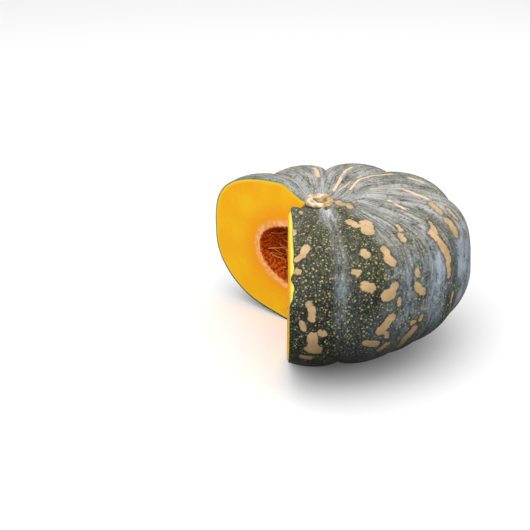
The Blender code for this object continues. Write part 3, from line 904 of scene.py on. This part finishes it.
def make_seeds(mat):
    """The seeds: rows half sunk in the pulp, and those that the knife laid bare."""
    bm, mesh = bmesh.new(), seed_mesh()
    chance = random.Random(SEED_CHANCE)
    for column in range(SEED_COLUMNS):
        share = (column + 0.5) / SEED_COLUMNS
        bearing = CUT_FRONT + SEED_MARGIN + share * (KEPT_ANGLE - 2 * SEED_MARGIN)
        for row in range(SEED_ROWS):
            out = direction(bearing + chance.uniform(-SEED_SWING, SEED_SWING) + SEED_STAGGER * (row % 2))
            level = (row + 0.5) / SEED_ROWS * 2 - 1
            height = CAVITY_CENTRE_HEIGHT + SEED_ROW_HEIGHT * CAVITY_HALF_HEIGHT * level
            place = CENTRE + out * SEED_ROW_RADIUS + Vector((0, 0, height))
            if past_cut(place) > SEED_CLEAR:
                tip = Vector((0, 0, 1 if level > 0 else -1)) - SEED_TILT * out
                face = out.cross(Vector((0, 0, 1))) + out * chance.uniform(-SEED_ROLL, SEED_ROLL)
                add_seed(bm, mesh, place, tip, face)
    for bearing, side in ((CUT_FRONT, 1), (CUT_LEFT, -1)):
        along = direction(bearing)
        into_notch = Vector((0, 0, side)).cross(along) * -1
        for reach, level, lean in BARE_SEEDS:
            place = CUT_CORNER + along * reach + into_notch * SEED_STAND_OUT
            place.z = CAVITY_CENTRE_HEIGHT + CAVITY_HALF_HEIGHT * level
            add_seed(bm, mesh, place, along + Vector((0, 0, lean)), into_notch)
    bpy.data.meshes.remove(mesh)
    return finish_piece(bm, "seeds", mat, "seed", "seed_pulp")


def seed_mesh():
    """One flat teardrop seed with a raised rim, its narrow end up."""
    bm = bmesh.new()
    bmesh.ops.create_uvsphere(bm, u_segments=20, v_segments=14, radius=0.5)
    for vert in bm.verts:
        taper = 1 - 0.5 * smoothstep(-0.1, 0.5, vert.co.z)
        edge = math.hypot(vert.co.x, vert.co.z) / 0.5
        plump = 1 + 0.25 * band(edge, 0.86, 0.05, 0.12)
        width, thickness = SEED_WIDTH * taper, SEED_THICKNESS * plump
        vert.co = Vector((vert.co.x * width, vert.co.y * thickness, vert.co.z * SEED_LENGTH))
    return kept_as_mesh(bm, "one_seed")


def add_seed(bm, mesh, place, tip, face):
    """Lays one seed centred at place, its narrow end towards tip and its flat side facing face."""
    tip = tip.normalized()
    face = (face - face.dot(tip) * tip).normalized()
    axes = Matrix((face.cross(tip), face, tip)).transposed()
    before = len(bm.verts)
    bm.from_mesh(mesh)
    bm.verts.ensure_lookup_table()
    for vert in bm.verts[before:]:
        vert.co = place + axes @ vert.co


# Finishes


def new_group(name, output, *inputs):
    """A shader group with a vector, the named values and one output, and the nodes at its two ends."""
    made = bpy.data.node_groups.new(name, "ShaderNodeTree")
    made.interface.new_socket("Vector", in_out="INPUT", socket_type="NodeSocketVector")
    for title, value in inputs:
        socket = made.interface.new_socket(title, in_out="INPUT", socket_type="NodeSocketFloat")
        socket.default_value = value
    made.interface.new_socket(output, in_out="OUTPUT", socket_type="NodeSocketFloat")
    return made, made.nodes.new("NodeGroupInput"), made.nodes.new("NodeGroupOutput")


def add(tree, kind, **settings):
    made = tree.nodes.new(kind)
    for name, value in settings.items():
        setattr(made, name, value)
    return made


def feed(tree, node, **inputs):
    """Sets or links a node's inputs by name, with underscores for spaces, or by number after one."""
    for name, value in inputs.items():
        socket = node.inputs[int(name[1:])] if name[0] == "_" else node.inputs[name.replace("_", " ")]
        if isinstance(value, bpy.types.NodeSocket):
            tree.links.new(value, socket)
        else:
            socket.default_value = value
    return node


def math_node(tree, operation, first, second, clamp=False):
    made = add(tree, "ShaderNodeMath", operation=operation, use_clamp=clamp)
    return feed(tree, made, _0=first, _1=second).outputs[0]


def times(tree, first, second, clamp=False):
    return math_node(tree, "MULTIPLY", first, second, clamp)


def plus(tree, first, second):
    return math_node(tree, "ADD", first, second)


def minus(tree, first, second):
    return math_node(tree, "SUBTRACT", first, second)


def ramp(tree, value, low, high, start=0.0, end=1.0):
    """A smooth change from start to end while the value goes from low to high."""
    made = add(tree, "ShaderNodeMapRange", interpolation_type="SMOOTHSTEP")
    feed(tree, made, Value=value, From_Min=low, From_Max=high, To_Min=start, To_Max=end)
    return made.outputs[0]


def blend(tree, share, first, second):
    made = add(tree, "ShaderNodeMix", data_type="RGBA", clamp_factor=True)
    feed(tree, made, _0=share, _6=first, _7=second)
    return made.outputs[2]


def colour(red, green, blue):
    """An sRGB colour of 0 to 255 as the shader's own linear values."""
    linear = []
    for value in (red / 255, green / 255, blue / 255):
        linear.append(value / 12.92 if value <= 0.04045 else ((value + 0.055) / 1.055) ** 2.4)
    return (*linear, 1.0)


def flecks_group():
    """Round spots of uneven size, scattered at random."""
    values = (("Spots per metre", 300.0), ("Spot size", 0.3), ("Uneven", 0.6))
    tree, start, end = new_group("flecks", "Mask", *values)
    cells = add(tree, "ShaderNodeTexVoronoi")
    feed(tree, cells, Vector=start.outputs["Vector"], Scale=start.outputs["Spots per metre"])
    split = add(tree, "ShaderNodeSeparateColor")
    feed(tree, split, Color=cells.outputs["Color"])
    change = times(tree, split.outputs[0], start.outputs["Uneven"])
    size = times(tree, start.outputs["Spot size"], minus(tree, 1.0, change))
    inside = minus(tree, size, cells.outputs["Distance"])
    feed(tree, end, Mask=ramp(tree, inside, -0.03, 0.09))
    return tree


def mottle_group():
    """Soft cloudy variation from 0 to 1."""
    tree, start, end = new_group("mottle", "Value", ("Scale", 40.0), ("Low", 0.35), ("High", 0.65))
    clouds = add(tree, "ShaderNodeTexNoise")
    feed(tree, clouds, Vector=start.outputs["Vector"], Scale=start.outputs["Scale"])
    feed(tree, clouds, Detail=4.0, Roughness=0.55)
    spread = ramp(tree, clouds.outputs[0], start.outputs["Low"], start.outputs["High"])
    feed(tree, end, Value=spread)
    return tree


def streaks_group():
    """Fine lines that run along the second axis of the vector."""
    values = (("Across", 300.0), ("Along", 25.0), ("Low", 0.35), ("High", 0.65))
    tree, start, end = new_group("streaks", "Value", *values)
    scale = add(tree, "ShaderNodeCombineXYZ")
    feed(tree, scale, X=start.outputs["Across"], Y=start.outputs["Along"], Z=start.outputs["Across"])
    stretched = add(tree, "ShaderNodeVectorMath", operation="MULTIPLY")
    feed(tree, stretched, _0=start.outputs["Vector"], _1=scale.outputs[0])
    lines = add(tree, "ShaderNodeTexNoise")
    feed(tree, lines, Vector=stretched.outputs[0], Scale=1.0, Detail=3.0, Roughness=0.55)
    spread = ramp(tree, lines.outputs[0], start.outputs["Low"], start.outputs["High"])
    feed(tree, end, Value=spread)
    return tree


def use(tree, group, **inputs):
    made = add(tree, "ShaderNodeGroup", node_tree=group)
    return feed(tree, made, **inputs).outputs[0]


def attribute(tree, name):
    return add(tree, "ShaderNodeAttribute", attribute_name=name, attribute_type="GEOMETRY").outputs["Fac"]


def new_material(name, roughness, **plain):
    mat = bpy.data.materials.new(name)
    mat.use_nodes = True
    shader = mat.node_tree.nodes["Principled BSDF"]
    shader.inputs["Roughness"].default_value = roughness
    for title, value in plain.items():
        shader.inputs[title.replace("_", " ")].default_value = value
    return mat, mat.node_tree, shader


def bump(tree, shader, height, strength, distance):
    made = add(tree, "ShaderNodeBump")
    feed(tree, made, Height=height, Strength=strength, Distance=distance)
    tree.links.new(made.outputs[0], shader.inputs["Normal"])


def rind_finish(flecks, mottle, streaks):
    """Dark green skin with pale flecks, under patches of tan and a streaky blue-grey wax, with painted
    shade that darkens it towards the bottom.
    """
    mat, tree, shader = new_material("waxy_mottled_rind", 0.5, Specular_IOR_Level=0.16)
    place = add(tree, "ShaderNodeTexCoord").outputs["Object"]
    along = add(tree, "ShaderNodeUVMap", uv_map="along_ribs").outputs[0]

    height = add(tree, "ShaderNodeSeparateXYZ")
    feed(tree, height, Vector=place)
    high = height.outputs["Z"]
    clouds = use(tree, mottle, Vector=place, Scale=70.0, Low=0.3, High=0.7)
    ground = blend(tree, clouds, colour(17, 23, 15), colour(37, 44, 28))
    ground = blend(tree, ramp(tree, high, *BLUE_GROUND, 0.0, 0.75), ground, colour(16, 34, 38))
    olive = use(tree, streaks, Vector=along, Across=620.0, Along=150.0, Low=0.42, High=0.66)
    olive = times(tree, olive, ramp(tree, high, *OLIVE_GROUND, 0.08, 0.32))
    ground = blend(tree, olive, ground, colour(128, 122, 80))
    fine = use(tree, flecks, Vector=place, Spots_per_metre=640.0, Spot_size=0.50, Uneven=0.62)
    ground = blend(tree, times(tree, fine, 0.46), ground, colour(142, 138, 90))
    large = use(tree, flecks, Vector=place, Spots_per_metre=450.0, Spot_size=0.40, Uneven=0.62)
    ground = blend(tree, times(tree, large, 0.85), ground, colour(184, 168, 112))

    wax = attribute(tree, "bloom")
    lines = use(tree, streaks, Vector=along, Across=230.0, Along=50.0, Low=0.30, High=0.70)
    veil = use(tree, mottle, Vector=place, Scale=120.0, Low=0.32, High=0.68)
    specks = use(tree, mottle, Vector=place, Scale=520.0, Low=0.36, High=0.6)
    spread = plus(tree, times(tree, lines, 0.30), times(tree, veil, 0.46))
    spread = plus(tree, spread, times(tree, specks, 0.56))
    cover = times(tree, wax, plus(tree, spread, 0.10), clamp=True)
    blue = blend(tree, lines, colour(130, 145, 157), colour(178, 189, 200))
    lilac = blend(tree, lines, colour(126, 126, 124), colour(190, 189, 186))
    pale = blend(tree, ramp(tree, high, *LILAC_WAX), blue, lilac)
    pale = blend(tree, ramp(tree, wax, 1.2, 1.6), pale, colour(206, 210, 214))
    skin = blend(tree, times(tree, cover, 0.92), ground, pale)
    # Painted shade: the skin is darkened towards the bottom, where less of the light from above falls.
    painted_foot_shade = ramp(tree, high, *FOOT_PAINTED_SHADE, 0.0, 0.84)
    skin = blend(tree, painted_foot_shade, skin, colour(13, 17, 15))

    edge = add(tree, "ShaderNodeTexNoise")
    feed(tree, edge, Vector=place, Scale=420.0, Detail=2.0)
    wander = times(tree, minus(tree, edge.outputs[0], 0.5), PATCH_WANDER)
    patch = plus(tree, attribute(tree, "patch"), wander)
    halo = ramp(tree, patch, *PATCH_HALO, 0.0, 0.55)
    skin = blend(tree, halo, skin, colour(42, 52, 44))
    tan = blend(tree, veil, colour(190, 156, 112), colour(214, 180, 134))
    grain = use(tree, mottle, Vector=place, Scale=700.0, Low=0.3, High=0.7)
    tan = blend(tree, times(tree, grain, 0.35), tan, colour(160, 138, 104))
    # Painted shade: the tan patches are darkened towards the bottom as well.
    tan = blend(tree, times(tree, painted_foot_shade, 1.3, clamp=True), tan, colour(96, 80, 52))
    skin = blend(tree, ramp(tree, patch, *PATCH_EDGE), skin, tan)
    streak = plus(tree, attribute(tree, "streak"), times(tree, wander, 0.35))
    skin = blend(tree, ramp(tree, streak, *STREAK_EDGE), skin, colour(226, 196, 158))

    rough = ramp(tree, cover, 0.0, 1.0, 0.42, 0.62)
    tree.links.new(rough, shader.inputs["Roughness"])
    tree.links.new(skin, shader.inputs["Base Color"])
    relief = plus(tree, times(tree, lines, 0.5), times(tree, large, 0.4))
    bump(tree, shader, relief, 0.35, 0.0008)
    return mat


def flesh_finish(mottle, streaks):
    """Yellow-orange flesh, greenish under the rind, peach round the cavity and red-orange on its wall."""
    mat, tree, shader = new_material("squash_flesh", 0.5, Subsurface_Weight=0.1, Subsurface_Scale=0.003)
    shader.inputs["Specular IOR Level"].default_value = 0.12
    shader.inputs["Subsurface Radius"].default_value = (1.0, 0.45, 0.15)
    place = add(tree, "ShaderNodeTexCoord").outputs["Object"]
    skin_gap = attribute(tree, "under_skin")
    cavity_gap = attribute(tree, "from_cavity")
    clouds = use(tree, mottle, Vector=place, Scale=60.0, Low=0.3, High=0.7)
    grain = use(tree, mottle, Vector=place, Scale=900.0, Low=0.3, High=0.7)
    body = blend(tree, clouds, colour(254, 180, 4), colour(255, 194, 14))
    deep = ramp(tree, cavity_gap, *DEEP_FLESH)
    body = blend(tree, deep, body, colour(252, 158, 14))
    drift = use(tree, mottle, Vector=place, Scale=26.0, Low=0.45, High=0.75)
    body = blend(tree, times(tree, drift, 0.6), body, colour(252, 162, 8))
    body = blend(tree, times(tree, grain, 0.14), body, colour(255, 214, 80))
    fibre = add(tree, "ShaderNodeTexNoise")
    feed(tree, fibre, Vector=place, Scale=420.0, Detail=3.0)
    ragged = times(tree, minus(tree, fibre.outputs[0], 0.5), FRINGE_RAGGED)
    fringe = ramp(tree, plus(tree, cavity_gap, ragged), *FRINGE)
    cream = use(tree, mottle, Vector=place, Scale=330.0, Low=0.36, High=0.62)
    body = blend(tree, fringe, body, blend(tree, cream, colour(248, 158, 72), colour(254, 200, 138)))
    wall = ramp(tree, plus(tree, cavity_gap, times(tree, ragged, 0.3)), *WALL)
    lines = use(tree, streaks, Vector=place, Across=600.0, Along=110.0, Low=0.36, High=0.64)
    red = blend(tree, lines, colour(158, 46, 8), colour(232, 118, 34))
    body = blend(tree, wall, body, red)
    body = blend(tree, ramp(tree, skin_gap, *YELLOW_UNDER_RIND), body, colour(255, 206, 56))
    body = blend(tree, ramp(tree, attribute(tree, "strip"), 0.05, 0.5), body, colour(255, 232, 96))
    body = blend(tree, ramp(tree, skin_gap, *GREEN_UNDER_RIND), body, colour(176, 178, 62))
    tree.links.new(body, shader.inputs["Base Color"])
    wet = ramp(tree, grain, 0.0, 1.0, 0.34, 0.52)
    tree.links.new(wet, shader.inputs["Roughness"])
    bump(tree, shader, plus(tree, grain, times(tree, fibre.outputs[0], wall)), 0.2, 0.0005)
    return mat


def pulp_finish(mottle, streaks):
    mat, tree, shader = new_material("stringy_pulp", 0.32, Subsurface_Weight=0.2, Subsurface_Scale=0.003)
    shader.inputs["Subsurface Radius"].default_value = (1.0, 0.35, 0.12)
    place = add(tree, "ShaderNodeTexCoord").outputs["Object"]
    clouds = use(tree, mottle, Vector=place, Scale=160.0, Low=0.3, High=0.7)
    lines = use(tree, streaks, Vector=place, Across=900.0, Along=200.0, Low=0.3, High=0.7)
    body = blend(tree, clouds, colour(216, 84, 16), colour(246, 146, 50))
    body = blend(tree, times(tree, lines, 0.55), body, colour(254, 192, 116))
    tree.links.new(body, shader.inputs["Base Color"])
    bump(tree, shader, lines, 0.4, 0.0006)
    return mat


def seed_finish(mottle):
    mat, tree, shader = new_material("cream_seed_coat", 0.38)
    place = add(tree, "ShaderNodeTexCoord").outputs["Object"]
    clouds = use(tree, mottle, Vector=place, Scale=260.0, Low=0.3, High=0.7)
    body = blend(tree, clouds, colour(232, 196, 132), colour(250, 232, 190))
    tree.links.new(body, shader.inputs["Base Color"])
    bump(tree, shader, clouds, 0.1, 0.0005)
    return mat


def stem_finish(flecks, mottle):
    """Cream cork on the rim, olive brown in the hollow, tan down the side."""
    mat, tree, shader = new_material("corky_stem", 0.8, Specular_IOR_Level=0.2)
    place = add(tree, "ShaderNodeTexCoord").outputs["Object"]
    rim = attribute(tree, "rim")
    clouds = use(tree, mottle, Vector=place, Scale=260.0, Low=0.36, High=0.62)
    pores = use(tree, flecks, Vector=place, Spots_per_metre=900.0, Spot_size=0.38, Uneven=0.7)
    side = blend(tree, clouds, colour(172, 134, 88), colour(214, 184, 142))
    cream = blend(tree, clouds, colour(184, 160, 124), colour(238, 226, 206))
    body = blend(tree, ramp(tree, rim, 0.35, 0.75), side, cream)
    hollow = blend(tree, clouds, colour(120, 98, 58), colour(186, 164, 118))
    body = blend(tree, ramp(tree, attribute(tree, "hollow"), 0.3, 0.7), body, hollow)
    body = blend(tree, times(tree, pores, 0.45), body, colour(122, 98, 62))
    tree.links.new(body, shader.inputs["Base Color"])
    bump(tree, shader, clouds, 0.4, 0.0008)
    return mat


# Floor and light


def make_floor():
    bm = bmesh.new()
    bmesh.ops.create_grid(bm, x_segments=1, y_segments=1, size=FLOOR_SIZE)
    mesh = kept_as_mesh(bm, "floor")
    mat, tree, shader = new_material("pale_floor", 0.9)
    # Painted shade: the floor looks white to the camera but dark grey to every other ray, so it throws less
    # light up onto the underside of the fruit.
    seen = add(tree, "ShaderNodeLightPath").outputs["Is Camera Ray"]
    camera_white_bounce_grey = blend(tree, seen, (0.22, 0.215, 0.21, 1.0), (0.93, 0.93, 0.93, 1.0))
    tree.links.new(camera_white_bounce_grey, shader.inputs["Base Color"])
    mesh.materials.append(mat)
    made = bpy.data.objects.new("floor", mesh)
    bpy.context.scene.collection.objects.link(made)


def make_lights():
    world = bpy.data.worlds.new("studio")
    bpy.context.scene.world = world
    world.use_nodes = True
    back = world.node_tree.nodes["Background"]
    back.inputs["Color"].default_value = (1.0, 1.0, 1.0, 1.0)
    back.inputs["Strength"].default_value = WORLD_STRENGTH
    for name, place, size, power in LAMPS:
        data = bpy.data.lights.new(name, "AREA")
        data.size = size
        data.energy = power
        made = bpy.data.objects.new(name, data)
        aim = CENTRE + Vector((0, 0, LAMP_TARGET_HEIGHT)) - Vector(place)
        made.matrix_world = Matrix.Translation(place) @ aim.to_track_quat("-Z", "Y").to_matrix().to_4x4()
        bpy.context.scene.collection.objects.link(made)
    bpy.context.scene.view_settings.view_transform = "Standard"


def main():
    camera = make_camera()
    flecks, mottle, streaks = flecks_group(), mottle_group(), streaks_group()
    outer, inner = rind_reference()
    cavity = cavity_reference()
    make_rind(camera, outer, rind_finish(flecks, mottle, streaks))
    make_flesh(inner, cavity, flesh_finish(mottle, streaks))
    make_stub(stem_finish(flecks, mottle))
    make_pulp(pulp_finish(mottle, streaks))
    make_seeds(seed_finish(mottle))
    make_floor()
    make_lights()


main()
